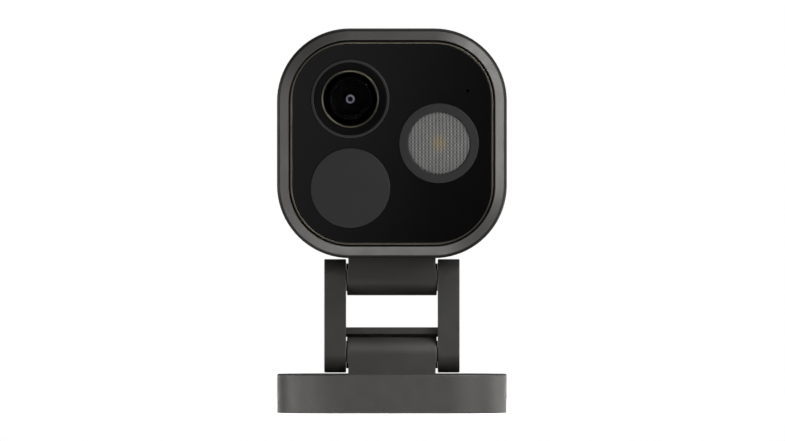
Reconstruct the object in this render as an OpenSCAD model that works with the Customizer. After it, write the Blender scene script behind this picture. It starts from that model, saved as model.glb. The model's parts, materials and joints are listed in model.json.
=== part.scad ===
// Floodlight security camera: a square head on a two-hinge link above a square wall base.
// Millimetres. +Z is up, the lens faces -Y, and the origin is the middle of the base's wall face.

/* [Outline] */
// Width and height of the head, and width of the square base
body_w = 86; // [84:0.5:88]
// Radius of the corners of the head and the base
corner_r = 27.2; // [26:0.1:28.5]
// Wall thickness of the head and base shells
wall = 3; // [2.6:0.1:3.2]
// Depth of the head from window face to rear cover
head_d = 58; // [56:1:60]
// Height of the base
base_h = 14.4; // [13.5:0.1:16]

/* [Link] */
// Height of the lower hinge axis above the base's top face
lower_axis_gap = 7.4; // [7.2:0.1:8]
// Distance between the two hinge axes
axis_gap = 29; // [28:0.5:31]
// Height of the head's underside above the upper hinge axis
upper_axis_gap = 7.2; // [7.1:0.1:8]
// Radius of the knuckle barrels and of the arms' round ends
knuckle_r = 6.8; // [6.4:0.1:6.8]
// Clear width between the two arms
arm_gap = 34.4; // [33:0.1:36]
// Thickness of each arm
arm_t = 8.2; // [7.8:0.1:9]
// Thickness of the bar that ties the arms together
bar_t = 2.65; // [2:0.05:3]
// Depth of that bar from front to back
bar_d = 7; // [6:0.5:9]
// Radius of the hinge pins
pin_r = 2.5; // [2.2:0.1:2.6]

/* [Front] */
// Width of the sloping bezel from the silhouette to the groove around the window
bezel_w = 4.4; // [4:0.1:4.6]
// How far the bezel slopes back over its own width less the edge radius
bezel_drop = 1.15; // [0.8:0.05:1.4]
// Radius that rolls the bezel into the side wall
edge_r = 2.6; // [2.2:0.1:2.8]
// Width of the window
window_w = 74.6; // [74:0.1:74.8]
// Width of the metal line around the window
trim_t = 0.55; // [0.4:0.05:0.6]
// How far the camera lens is to the left of the head's middle
lens_left = 15.6; // [15:0.1:16]
// How far the camera lens is above the head's middle
lens_up = 16.6; // [16.2:0.1:17]
// How far the motion sensor's lens is to the left of the head's middle
pir_left = 15.55; // [15.2:0.05:16]
// How far the motion sensor's lens is below the head's middle
pir_down = 16.75; // [16.2:0.05:17]
// How far the lamp is to the right of the head's middle
lamp_right = 17.6; // [17.2:0.1:18]
// How far the microphone port is to the right of the head's middle
mic_right = 28.4; // [27.5:0.1:29]
// How far the microphone port is above the head's middle
mic_up = 19.7; // [18.5:0.1:21]
// Outer radius of the ring around the camera lens
lens_ring_r = 14.7; // [14.3:0.1:14.8]
// Outer radius of the ring around the lamp, and of the motion sensor's lens
lamp_ring_r = 14.9; // [14.5:0.1:15]
// Radius of the lamp's micro-lens plate
lamp_lens_r = 11.6; // [11:0.1:12]

/* [Wall fixing] */
// Distance between the two wall screws
wall_screw_gap = 60.3; // [58:0.1:62]
// Radius of the wall screw holes
wall_hole_r = 2.2; // [2:0.1:2.4]

/* [Rear] */
// Radius of the cable gland's bore
gland_bore_r = 3.5; // [3:0.1:3.7]
// Travel of the reset button
button_travel = 0.8; // [0.5:0.1:0.8]

/* [Hidden] */
$fn = 96;

// Small clearances and a length that carries a cut clear past a face
slip = 0.05;
run_gap = 0.04;
past = 1;

// Heights of the hinge axes and of the middle of the head
lower_axis_z = base_h + lower_axis_gap;
upper_axis_z = lower_axis_z + axis_gap;
head_mid_z = upper_axis_z + upper_axis_gap + body_w / 2;

// Levels through the head, measured towards the viewer from its middle
front_z = head_d / 2;
rim_z = front_z - 0.2;
window_back = front_z - 1.8;
ledge_front = window_back - 1;
ledge_back = ledge_front - 4;
chassis_back = ledge_back - 2;
board_front = 2;
board_back = board_front - 1.6;
cover_out = -front_z;
cover_in = cover_out + 2.2;
housing_rear = cover_in + 0.8;
spigot_in = cover_in + 2;

// Places on the front, from the middle of the head
lens_at = [-lens_left, lens_up];
pir_at = [-pir_left, -pir_down];
lamp_at = [lamp_right, 0];
mic_at = [mic_right, mic_up];

// Widths across the head
cavity_w = body_w - 2 * wall;
rim_w = body_w - 2 * bezel_w;
ledge_w = window_w - 7.6;
chassis_w = ledge_w + 9;
spigot_w = cavity_w - 0.6;
corner_screw_at = body_w / 2 - 13;

// Hinge details
knuckle_half = arm_gap / 2 - 0.35;
arm_out = arm_gap / 2 + arm_t;
stem_relief = 0.45;
stem_relief_from = 3.2;
bar_z = lower_axis_z + 7.55;
washer_r = 5.2;
washer_t = 0.85;
hinge_screw_head_r = 3.5;
hinge_screw_seat = arm_out - 2;
hinge_screw_reach = 8;
knuckle_screw_x = 10;
knuckle_screw_depth = 3.6;
m3_r = 1.5;
m3_head_r = 2.8;
m2_r = 1;

// Base details
cavity_top = base_h - 4;
plate_w = body_w - 10;
plate_t = 3;
sink_z = 1.4;
sink_r = 4;
tongue_w = 20;
tongue_z = [1, 2.5];
lock_screw_z = 6;
lock_boss = [10, 5, 7];

// Camera lens stack, inside its ring
hood_r = lens_ring_r - 1 - slip;
hood_floor = ledge_back + 1.8;
hood_mouth_r = hood_r - 0.5;
hood_throat_r = 10.9;
lens_trim_t = 0.95;
glass_r = hood_throat_r - lens_trim_t - 2 * slip;
glass_dome_r = 19.5;
glass_edge_z = hood_floor + 1;
barrel_r = 7.5;
barrel_bore_r = 6.2;
barrel_rear = 6;
element_front = hood_floor - 0.4;
element_dome_r = 9;
iris_z = hood_floor - 5.6;
iris_t = 0.8;
iris_r = 1.1;
iris_mouth_r = 2;
sensor_size = 24;

// Motion sensor, lamp and microphone
pir_wall = 1;
pir_can_r = 4.6;
lamp_lens_t = 2.7;
lamp_lens_front = front_z + 0.1;
reflector_r = lamp_lens_r - 0.4;
led_board_r = 10.8;
sink_w = 22;
sink_rear = 8;
sink_fins = 6;
mic_hole_r = 0.55;

// Rear cover features, from the middle of the head
gland_at = [0, -6];
speaker_at = [0, -26];
button_at = [20, -6];
groove_xs = [-25, -15, -5, 5, 15, 25];
speaker_r = 9;
slot_xs = [-6, -3, 0, 3, 6];
groove = [1.6, 22, 1];
groove_y = 19;
slot = [1.2, 8];
button_r = 3;
button_stem_r = 1.6;
button_end = spigot_in + 2.8;

// Cable gland, its levels measured out from the cover
gland_r = 6.3;
gland_hex_r = 9.4;
gland_hex_t = 2.5;
gland_end = cover_out - 7;
bush_r = 4.9;
bush_flange_r = 6.2;
bush_flange_end = gland_end - 1.2;
bush_nose_r = 4.3;
bush_nose_end = bush_flange_end - 0.7;
bush_inner_end = cover_out - 1.1;
membrane_t = 0.8;
nut_hex_end = cover_out - 6.4;
nut_end = cover_out - 9.6;

// Boards and the large parts on them
board_w = 72;
standoff_at = [33, 14];
antenna_at = [17, -23.5];
shield_at = [-14, 9];
shield_size = [24, 20, 3];
shield_t = 0.5;
converter_at = [14, 18];
converter_size = [20, 16, 11];
terminal_size = [16, 9, 8];
terminal_pitch = 5;

// Radius of a corner that runs parallel to the body's, for an outline w wide
function parallel_r(w) = corner_r - (body_w - w) / 2;

// The head's own axes: X to the right, Y up and Z out of the window
module in_head() {
    translate([0, 0, head_mid_z]) rotate([90, 0, 0]) children();
}

module at(place) {
    translate([place[0], place[1], 0]) children();
}

// The four corners of a square, a distance d each way from its middle
module at_corners(dx, dy) {
    for (sx = [-1, 1], sy = [-1, 1]) translate([sx * dx, sy * dy, 0]) children();
}

module rounded_square(w, r) {
    square([w, w - 2 * r], center = true);
    square([w - 2 * r, w], center = true);
    at_corners(w / 2 - r, w / 2 - r) circle(r = r);
}

// A plate with the body's outline, w wide, between two levels
module slab(w, z0, z1) {
    translate([0, 0, z0]) linear_extrude(z1 - z0) rounded_square(w, parallel_r(w));
}

module slab_ring(w_out, w_in, z0, z1) {
    difference() {
        slab(w_out, z0, z1);
        slab(w_in, z0 - past, z1 + past);
    }
}

module disc(r, z0, z1) {
    translate([0, 0, z0]) cylinder(r = r, h = z1 - z0);
}

module ring(r_out, r_in, z0, z1) {
    difference() {
        disc(r_out, z0, z1);
        disc(r_in, z0 - past, z1 + past);
    }
}

module block(x, y, z0, z1) {
    translate([-x / 2, -y / 2, z0]) cube([x, y, z1 - z0]);
}

// A slot w wide with round ends, whose straight part is y long
module stadium(w, y, z0, z1) {
    block(w, y, z0, z1);
    for (sy = [-1, 1]) translate([0, sy * y / 2, 0]) disc(w / 2, z0, z1);
}

module hexagon(r, z0, z1) {
    translate([0, 0, z0]) cylinder(r = r, h = z1 - z0, $fn = 6);
}

// Sweeps a profile round the body's outline; its X is measured from the corners' middles
module sweep_outline() {
    flat = body_w - 2 * corner_r;
    for (turn = [0:3])
        rotate([0, 0, 90 * turn]) translate([flat / 2, flat / 2, 0]) {
            rotate_extrude(angle = 90) children();
            rotate([90, 0, 0]) linear_extrude(flat) children();
        }
}

// A screw whose head stands on the plane z = 0 and whose shank points to -Z
module screw(head_r, head_t, shank_r, reach, key_r) {
    difference() {
        union() {
            disc(head_r, 0, head_t);
            disc(shank_r, -reach, 0);
        }
        hexagon(key_r, head_t * 0.35, head_t + past);
    }
}

// A hinge axis: local Z runs along +X through the middle of the knuckle
module on_axis(z) {
    translate([0, 0, z]) rotate([0, 90, 0]) children();
}

// A knuckle on a flat face that is gap below its axis; the stem points to -Z
module knuckle(gap) {
    difference() {
        union() {
            on_axis(0) disc(knuckle_r, -knuckle_half, knuckle_half);
            block(2 * knuckle_half, 2 * knuckle_r, -gap, 0);
        }
        on_axis(0) disc(pin_r + run_gap, -knuckle_half - past, knuckle_half + past);
        for (side = [0, 180]) rotate([0, 0, side]) {
            on_axis(0) disc(washer_r + slip, knuckle_half - 0.6, knuckle_half + past);
            translate([knuckle_half, 0, 0])
                block(2 * stem_relief, 2 * knuckle_r + past, -gap - past, -stem_relief_from);
            translate([knuckle_screw_x, 0, 0])
                disc(m3_r, -gap - past, -gap + knuckle_screw_depth);
        }
    }
}

// The two screws that hold a knuckle through a wall of thickness t; heads down
module knuckle_screws(t) {
    for (sx = [-1, 1]) translate([sx * knuckle_screw_x, 0, 0]) mirror([0, 0, 1])
        screw(m3_head_r, 2, m3_r - slip, t + knuckle_screw_depth - 0.3, 1.2);
}

module hinge_pin(z) {
    reach = hinge_screw_seat - 0.1;
    on_axis(z) difference() {
        disc(pin_r, -reach, reach);
        for (side = [0, 180]) rotate([side, 0, 0])
            disc(m3_r, reach - hinge_screw_reach, reach + past);
    }
}

// ---- Base ----

module base_shell() {
    color("#54524e") difference() {
        slab(body_w, 0, base_h);
        slab(cavity_w, -past, cavity_top);
        for (sx = [-1, 1]) translate([sx * knuckle_screw_x, 0, 0])
            disc(m3_r + 0.1, cavity_top - past, base_h + past);
        translate([0, -cavity_w / 2, 0])
            block(tongue_w + 0.4, 3.4, tongue_z[0] - 0.1, tongue_z[1] + 0.1);
        translate([0, cavity_w / 2 - past, lock_screw_z]) rotate([-90, 0, 0])
            disc(m3_r + slip, 0, wall + 2 * past);
    }
}

module wall_plate() {
    color("#8d8f91") difference() {
        union() {
            slab(plate_w, 0, plate_t);
            translate([0, -plate_w / 2 - 0.5, 0]) block(tongue_w, 6, tongue_z[0], tongue_z[1]);
            translate([0, plate_w / 2 - lock_boss[1] / 2, 0])
                block(lock_boss[0], lock_boss[1], 0, plate_t + lock_boss[2]);
        }
        for (sx = [-1, 1]) translate([sx * wall_screw_gap / 2, 0, 0]) {
            disc(wall_hole_r, -past, plate_t + past);
            translate([0, 0, sink_z]) cylinder(r1 = wall_hole_r, r2 = sink_r, h = plate_t - sink_z);
        }
        translate([0, plate_w / 2 - lock_boss[1] - past, lock_screw_z]) rotate([-90, 0, 0])
            disc(m3_r, 0, lock_boss[1] + 2 * past);
    }
}

module base_gasket() {
    color("#1d1d1d") slab_ring(cavity_w - 0.2, plate_w + 0.4, 0, tongue_z[0] - 0.1);
}

module base_lock_screw() {
    color("#2b2b2b") translate([0, plate_w / 2 - lock_boss[1], lock_screw_z])
        rotate([-90, 0, 0]) difference() {
            disc(m3_r - slip, 0, lock_boss[1] + 4.6);
            hexagon(0.85, lock_boss[1] + 2.6, lock_boss[1] + 4.6 + past);
        }
}

module lower_knuckle() {
    color("#4a4946") translate([0, 0, lower_axis_z]) knuckle(lower_axis_gap);
}

module lower_knuckle_screws() {
    color("#9a9a98") translate([0, 0, cavity_top]) knuckle_screws(base_h - cavity_top);
}

// ---- Link ----

// The side outline of the arms, drawn with its X down and its Y to the rear
module arm_outline() {
    circle(r = knuckle_r);
    translate([-axis_gap, 0]) circle(r = knuckle_r);
    translate([-axis_gap, -knuckle_r]) square([axis_gap, 2 * knuckle_r]);
}

module link_frame() {
    color("#4c4b48") difference() {
        union() {
            for (side = [-1, 1]) translate([side * (arm_gap + arm_t) / 2, 0, 0])
                on_axis(lower_axis_z) translate([0, 0, -arm_t / 2])
                    linear_extrude(arm_t) arm_outline();
            block(arm_gap + 2, bar_d, bar_z, bar_z + bar_t);
        }
        for (z = [lower_axis_z, upper_axis_z]) on_axis(z) {
            disc(pin_r + 0.02, -arm_out - past, arm_out + past);
            for (side = [0, 180]) rotate([side, 0, 0])
                disc(hinge_screw_head_r + 0.15, hinge_screw_seat, arm_out + past);
        }
    }
}

module lower_hinge_pin() {
    color("#a8a8a6") hinge_pin(lower_axis_z);
}

module upper_hinge_pin() {
    color("#a8a8a6") hinge_pin(upper_axis_z);
}

module friction_washers() {
    color("#3a3936") for (z = [lower_axis_z, upper_axis_z], side = [0, 180])
        on_axis(z) rotate([side, 0, 0])
            ring(washer_r, pin_r + slip, arm_gap / 2 - slip - washer_t, arm_gap / 2 - slip);
}

module hinge_screws() {
    color("#3a3936") for (z = [lower_axis_z, upper_axis_z], side = [0, 180])
        on_axis(z) rotate([side, 0, 0]) translate([0, 0, hinge_screw_seat])
            screw(hinge_screw_head_r, 1.7, m3_r - slip, hinge_screw_reach - 0.5, 1.6);
}

// ---- Head shell ----

module upper_knuckle() {
    color("#3e3d3b") translate([0, 0, upper_axis_z]) mirror([0, 0, 1]) knuckle(upper_axis_gap);
}

module upper_knuckle_screws() {
    color("#9a9a98") translate([0, 0, upper_axis_z + upper_axis_gap + wall])
        mirror([0, 0, 1]) knuckle_screws(wall);
}

// Half section of the housing wall: side wall, inner ledge and sloping bezel with a rolled edge
module housing_section() {
    slope = atan(bezel_drop / (bezel_w - edge_r));
    inset = edge_r * (1 - sin(slope));
    run = bezel_w - inset;
    edge_z = rim_z - run * tan(slope);
    roll_z = edge_z - edge_r * cos(slope);
    r = corner_r;
    polygon([
        [r - wall, housing_rear], [r - 0.6, housing_rear], [r, housing_rear + 0.6], [r, roll_z],
        [r - inset, edge_z], [r - bezel_w, rim_z], [r - bezel_w, ledge_front],
        [parallel_r(ledge_w), ledge_front], [parallel_r(ledge_w), ledge_back], [r - wall, ledge_back]
    ]);
    translate([r - edge_r, roll_z]) circle(r = edge_r);
}

module head_housing() {
    boss_rear = spigot_in + 0.2;
    boss_front = boss_rear + 16;
    color("#4f4e4b") in_head() difference() {
        union() {
            sweep_outline() housing_section();
            intersection() {
                at_corners(corner_screw_at, corner_screw_at) disc(4.6, boss_rear, boss_front);
                slab(body_w - wall, boss_rear - past, boss_front + past);
            }
        }
        at_corners(corner_screw_at, corner_screw_at) disc(m3_r, boss_rear - past, boss_rear + 12);
        at_corners(corner_screw_at, corner_screw_at)
            disc(m2_r, ledge_back - past, ledge_back + 2.8);
        for (sx = [-1, 1]) translate([sx * knuckle_screw_x, -body_w / 2 - past, 0])
            rotate([-90, 0, 0]) disc(m3_r + 0.1, 0, wall + 2 * past);
    }
}

module rear_cover() {
    color("#454441") in_head() difference() {
        union() {
            slab(body_w, cover_out + 0.6, cover_in);
            slab(body_w - 1.2, cover_out, cover_out + 0.6);
            slab(spigot_w, cover_in, spigot_in);
        }
        at_corners(corner_screw_at, corner_screw_at) {
            disc(m3_r + 0.1, cover_out - past, spigot_in + past);
            disc(m3_head_r + 0.2, cover_out - past, cover_out + 1.8);
        }
        for (x = groove_xs) translate([x, groove_y, 0])
            stadium(groove[0], groove[1], cover_out - past, cover_out + groove[2]);
        at(speaker_at) for (x = slot_xs) translate([x, 0, 0])
            stadium(slot[0], slot[1], cover_out - past, spigot_in + past);
        at(gland_at) disc(gland_r + 0.1, cover_out - past, spigot_in + past);
        at(button_at) {
            disc(button_r + slip, cover_out - past, cover_out + 2 + button_travel);
            disc(button_stem_r + slip, cover_out - past, spigot_in + past);
            disc(button_r + 1.8, cover_out - past, cover_out + 0.6);
        }
    }
}

module rear_gasket() {
    color("#161616") in_head() slab_ring(body_w - 1, spigot_w + 0.2, cover_in, housing_rear);
}

module rear_screws() {
    color("#2e2d2b") in_head() at_corners(corner_screw_at, corner_screw_at)
        translate([0, 0, cover_out + 1.8]) mirror([0, 0, 1])
            screw(m3_head_r, 1.6, m3_r - slip, 12, 1.3);
}

module window_gasket() {
    color("#111111") in_head() slab_ring(window_w, ledge_w + 1, ledge_front, window_back);
}

module front_window() {
    color("#141414") in_head() difference() {
        slab(window_w, window_back, front_z);
        at(lens_at) disc(lens_ring_r + slip, window_back - past, front_z + past);
        at(pir_at) disc(lamp_ring_r + slip, window_back - past, front_z + past);
        at(lamp_at) disc(lamp_ring_r + slip, window_back - past, front_z + past);
        at(mic_at) disc(mic_hole_r, window_back - past, front_z + past);
    }
}

module window_trim() {
    color("#8a7656") in_head()
        slab_ring(window_w + 2 * trim_t, window_w + slip, window_back, front_z + 0.1);
}

module front_chassis() {
    color("#26282a") in_head() difference() {
        slab(chassis_w, chassis_back, ledge_back);
        at(lens_at) disc(barrel_r + 0.2, chassis_back - past, ledge_back + past);
        at(lamp_at) disc(led_board_r + 0.2, chassis_back - past, ledge_back + past);
        at(pir_at) at_corners(1.8, 1.8) disc(0.6, chassis_back - past, ledge_back + past);
        at(mic_at) disc(1, chassis_back - past, ledge_back + past);
        for (place = [[corner_screw_at, corner_screw_at], standoff_at])
            at_corners(place[0], place[1]) disc(m2_r + 0.1, chassis_back - past, ledge_back + past);
    }
}

module chassis_screws() {
    color("#9a9a98") in_head() at_corners(corner_screw_at, corner_screw_at)
        translate([0, 0, chassis_back]) mirror([0, 0, 1])
            screw(1.9, 1.3, m2_r - slip, 4.6, 0.8);
}

// ---- Camera lens ----

module lens_bezel_ring() {
    color("#393a3c") in_head() at(lens_at)
        ring(lens_ring_r, lens_ring_r - 1, ledge_back, front_z + 0.5);
}

module lens_hood() {
    color("#0f0f10") in_head() at(lens_at) rotate_extrude() polygon([
        [barrel_r + 0.5, ledge_back], [hood_r, ledge_back], [hood_r, front_z + 0.3],
        [hood_mouth_r, front_z + 0.3], [hood_throat_r + 0.8, hood_floor + 3.4],
        [hood_throat_r, hood_floor + 3.4], [hood_throat_r, hood_floor], [barrel_r + 0.5, hood_floor]
    ]);
}

module lens_trim_ring() {
    color("#7d6849") in_head() at(lens_at)
        ring(hood_throat_r - slip, glass_r + slip, hood_floor, hood_floor + 3.6);
}

module lens_cover_glass() {
    dome_mid = glass_edge_z - sqrt(glass_dome_r * glass_dome_r - glass_r * glass_r);
    color("#050608") in_head() at(lens_at) intersection() {
        disc(glass_r, hood_floor, glass_edge_z + 5);
        translate([0, 0, dome_mid]) sphere(r = glass_dome_r);
    }
}

module lens_barrel() {
    color("#101011") in_head() at(lens_at) difference() {
        union() {
            disc(barrel_r, barrel_rear, hood_floor - 0.2);
            disc(barrel_r + 2, chassis_back - 1.5, chassis_back);
            disc(barrel_r + 1.2, barrel_rear, barrel_rear + 4);
        }
        disc(barrel_bore_r, barrel_rear - past, hood_floor + past);
    }
}

module lens_element() {
    element_r = barrel_bore_r - slip;
    color("#3b3150") in_head() at(lens_at) intersection() {
        disc(element_r, hood_floor - 5, element_front);
        translate([0, 0, element_front - element_dome_r]) sphere(r = element_dome_r);
    }
}

module lens_iris() {
    color("#0a0a0a") in_head() at(lens_at) difference() {
        disc(barrel_bore_r - slip, iris_z - iris_t, iris_z);
        translate([0, 0, iris_z - iris_t]) cylinder(r1 = iris_r, r2 = iris_mouth_r, h = iris_t);
    }
}

module sensor_board() {
    color("#1f4a36") in_head() at(lens_at)
        block(sensor_size, sensor_size, barrel_rear - 1.6, barrel_rear);
}

module image_sensor() {
    color("#5b6b78") in_head() at(lens_at) block(8, 8, barrel_rear, barrel_rear + 1);
}

// ---- Motion sensor ----

module pir_lens() {
    color("#2e2f30") in_head() at(pir_at) difference() {
        disc(lamp_ring_r, ledge_back, front_z + 0.4);
        disc(lamp_ring_r - pir_wall, ledge_back - past, front_z + 0.4 - pir_wall);
    }
}

module pir_sensor() {
    color("#b9b6ae") in_head() at(pir_at) difference() {
        union() {
            disc(pir_can_r + 0.4, ledge_back, ledge_back + 0.6);
            disc(pir_can_r, ledge_back + 0.6, ledge_back + 4.2);
        }
        block(4, 3, ledge_back + 4, ledge_back + 4.2 + past);
    }
}

// ---- Lamp ----

module lamp_bezel() {
    color("#333436") in_head() at(lamp_at) difference() {
        disc(lamp_ring_r, ledge_back, front_z + 0.5);
        disc(lamp_lens_r + slip, ledge_back - past, front_z + 0.5 + past);
    }
}

module lamp_lens() {
    color("#c9cbc6") in_head() at(lamp_at)
        disc(lamp_lens_r, lamp_lens_front - lamp_lens_t, lamp_lens_front);
}

module lamp_reflector() {
    top = lamp_lens_front - lamp_lens_t;
    color("#d8d8d4") in_head() at(lamp_at) rotate_extrude() polygon([
        [3.4, ledge_back], [reflector_r, ledge_back], [reflector_r, top],
        [reflector_r - 0.8, top], [3.4, ledge_back + 0.8]
    ]);
}

module led_emitter() {
    color("#e3b23c") in_head() at(lamp_at) {
        block(3.5, 3.5, ledge_back - 0.2, ledge_back + 0.6);
        intersection() {
            disc(1.5, ledge_back + 0.6, ledge_back + 2.2);
            translate([0, 0, ledge_back + 0.6]) sphere(r = 1.5);
        }
    }
}

module led_board() {
    color("#e9e9e4") in_head() at(lamp_at) disc(led_board_r, chassis_back + 0.2, ledge_back - 0.2);
}

module thermal_pad() {
    color("#7f97ad") in_head() at(lamp_at) disc(led_board_r - 0.6, chassis_back - 0.2, chassis_back + 0.2);
}

module lamp_heat_sink() {
    fin_pitch = (sink_w - 1.6) / (sink_fins - 1);
    color("#b4b5b6") in_head() at(lamp_at) {
        block(sink_w + 2, sink_w + 2, chassis_back - 3.2, chassis_back - 0.2);
        for (i = [0:sink_fins - 1]) translate([-sink_w / 2 + 0.8 + i * fin_pitch, 0, 0])
            block(1.6, sink_w, sink_rear, chassis_back - 3.2);
    }
}

// ---- Sound, radio and electronics ----

module microphone() {
    color("#1c1c1c") in_head() at(mic_at) block(3.8, 3.2, ledge_back, ledge_back + 1.4);
}

module mic_seal() {
    color("#202020") in_head() at(mic_at) ring(1.9, mic_hole_r, ledge_back + 1.4, window_back);
}

module wifi_antenna() {
    color("#1b3b2c") in_head() at(antenna_at) block(18, 7, ledge_back, ledge_back + 0.8);
}

module main_board() {
    color("#1d4d38") in_head() difference() {
        slab(board_w, board_back, board_front);
        at_corners(standoff_at[0], standoff_at[1])
            disc(m2_r + 0.1, board_back - past, board_front + past);
    }
}

module board_standoffs() {
    color("#c0a24e") in_head() at_corners(standoff_at[0], standoff_at[1]) difference() {
        hexagon(2.4, board_front, chassis_back);
        disc(m2_r, board_front - past, board_front + 6);
    }
}

module board_screws() {
    color("#9a9a98") in_head() at_corners(standoff_at[0], standoff_at[1])
        translate([0, 0, board_back]) mirror([0, 0, 1]) screw(1.9, 1.3, m2_r - slip, 6, 0.8);
}

module shield_can() {
    color("#b8babb") in_head() at(shield_at) difference() {
        block(shield_size[0], shield_size[1], board_back - shield_size[2], board_back);
        block(shield_size[0] - 2 * shield_t, shield_size[1] - 2 * shield_t,
            board_back - shield_size[2] + shield_t, board_back + past);
    }
}

module power_converter() {
    color("#3a2f22") in_head() at(converter_at)
        block(converter_size[0], converter_size[1], board_back - converter_size[2], board_back);
}

module terminal_block() {
    color("#2f6b3f") in_head() at(gland_at) difference() {
        block(terminal_size[0], terminal_size[1], board_back - terminal_size[2], board_back);
        for (i = [-1:1]) translate([i * terminal_pitch, 0, 0])
            disc(1.3, board_back - terminal_size[2] - past, board_back - 3);
    }
}

module speaker() {
    color("#242424") in_head() at(speaker_at) {
        disc(speaker_r, spigot_in + 0.3, spigot_in + 5);
        disc(speaker_r * 0.6, spigot_in + 5, spigot_in + 9);
    }
}

module acoustic_mesh() {
    color("#4a4a4a") in_head() at(speaker_at) disc(speaker_r, spigot_in, spigot_in + 0.3);
}

module reset_switch() {
    color("#dddddd") in_head() at(button_at) {
        tip = button_end + button_travel + 0.2;
        disc(1.2, tip, tip + 0.6);
        block(6, 6, tip + 0.6, tip + 3.2);
        block(12, 9, tip + 3.2, tip + 4.2);
    }
}

module reset_button() {
    color("#5c5c5a") in_head() at(button_at) {
        disc(button_r, cover_out - 0.3, cover_out + 1.8);
        disc(button_stem_r, cover_out + 1.8, button_end);
        ring(button_stem_r + 0.9, button_stem_r, spigot_in + 0.2, spigot_in + 0.9);
    }
}

// ---- Cable gland ----

module gland_body() {
    color("#232323") in_head() at(gland_at) difference() {
        union() {
            hexagon(gland_hex_r, cover_out - gland_hex_t, cover_out);
            disc(gland_r, gland_end, cover_out - gland_hex_t);
            disc(gland_r, cover_out, spigot_in + 4);
        }
        disc(bush_r + slip, gland_end - past, spigot_in + 4 + past);
    }
}

module gland_locknut() {
    color("#303030") in_head() at(gland_at) difference() {
        hexagon(8.6, spigot_in, spigot_in + 3);
        disc(gland_r + slip, spigot_in - past, spigot_in + 3 + past);
    }
}

module gland_nut() {
    color("#2a2a2a") in_head() at(gland_at) difference() {
        union() {
            hexagon(gland_hex_r - 0.4, nut_hex_end, cover_out - gland_hex_t - 0.2);
            translate([0, 0, nut_end]) cylinder(r1 = 6.8, r2 = 7.7, h = nut_hex_end - nut_end);
        }
        disc(bush_nose_r + slip, nut_end - past, cover_out);
        disc(gland_r + slip, bush_flange_end - slip, cover_out);
    }
}

// The closed end is the thin membrane that the cord is pushed through
module gland_bush() {
    color("#151515") in_head() at(gland_at) difference() {
        union() {
            disc(bush_r, gland_end, bush_inner_end);
            disc(bush_flange_r, bush_flange_end, gland_end);
            disc(bush_nose_r, bush_nose_end, bush_flange_end);
        }
        disc(gland_bore_r, bush_nose_end - past, bush_inner_end - membrane_t);
    }
}

base_shell();
wall_plate();
base_gasket();
base_lock_screw();
lower_knuckle();
lower_knuckle_screws();
link_frame();
lower_hinge_pin();
upper_hinge_pin();
friction_washers();
hinge_screws();
upper_knuckle();
upper_knuckle_screws();
head_housing();
rear_cover();
rear_gasket();
rear_screws();
window_gasket();
front_window();
window_trim();
front_chassis();
chassis_screws();
lens_bezel_ring();
lens_hood();
lens_trim_ring();
lens_cover_glass();
lens_barrel();
lens_element();
lens_iris();
sensor_board();
image_sensor();
pir_lens();
pir_sensor();
lamp_bezel();
lamp_lens();
lamp_reflector();
led_emitter();
led_board();
thermal_pad();
lamp_heat_sink();
microphone();
mic_seal();
wifi_antenna();
main_board();
board_standoffs();
board_screws();
shield_can();
power_converter();
terminal_block();
speaker();
acoustic_mesh();
reset_switch();
reset_button();
gland_body();
gland_locknut();
gland_nut();
gland_bush();
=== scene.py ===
"""Floodlight security camera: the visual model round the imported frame, in metres and in its axes."""
import json
import math

import bmesh
import bpy
from mathutils import Matrix, Vector


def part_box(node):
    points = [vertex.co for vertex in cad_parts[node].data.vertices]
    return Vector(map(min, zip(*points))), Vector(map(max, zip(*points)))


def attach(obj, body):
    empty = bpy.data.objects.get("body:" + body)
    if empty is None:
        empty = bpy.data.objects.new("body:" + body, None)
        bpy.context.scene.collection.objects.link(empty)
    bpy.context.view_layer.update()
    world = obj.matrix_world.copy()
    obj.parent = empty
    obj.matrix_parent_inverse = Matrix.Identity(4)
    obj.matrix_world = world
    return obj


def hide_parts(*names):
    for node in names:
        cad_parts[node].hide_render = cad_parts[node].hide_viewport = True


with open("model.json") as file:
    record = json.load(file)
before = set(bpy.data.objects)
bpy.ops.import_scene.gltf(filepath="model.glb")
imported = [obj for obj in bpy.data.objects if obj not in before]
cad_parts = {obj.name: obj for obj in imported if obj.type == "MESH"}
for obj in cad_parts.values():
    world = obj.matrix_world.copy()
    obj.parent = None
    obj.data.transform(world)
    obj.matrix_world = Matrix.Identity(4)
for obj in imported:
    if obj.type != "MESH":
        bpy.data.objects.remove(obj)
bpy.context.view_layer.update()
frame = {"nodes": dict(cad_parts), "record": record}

# ---- Sizes, in millimetres unless said otherwise ----

MM = 0.001
# Edges that bend by more than this are drawn sharp.
SHARP = math.radians(32)
# Steps per corner of the body's outline, and sides of round parts by how closely they are seen.
CORNER_STEPS = 20
SIDES = 96
FINE_SIDES = 128
SMALL_SIDES = 64
TINY_SIDES = 48
HOLE_SIDES = 32
# How far a cutter runs past the face that it opens, and how an outer edge is rolled.
PAST = 1.0
EDGE = 0.35


def corners(node):
    """A CAD node's lowest and highest corners, in millimetres."""
    lo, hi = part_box(node)
    return [v / MM for v in lo], [v / MM for v in hi]


def depth_of(node):
    """How far a CAD node reaches from front to rear, in millimetres."""
    lo, hi = corners(node)
    return hi[1] - lo[1]


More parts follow.
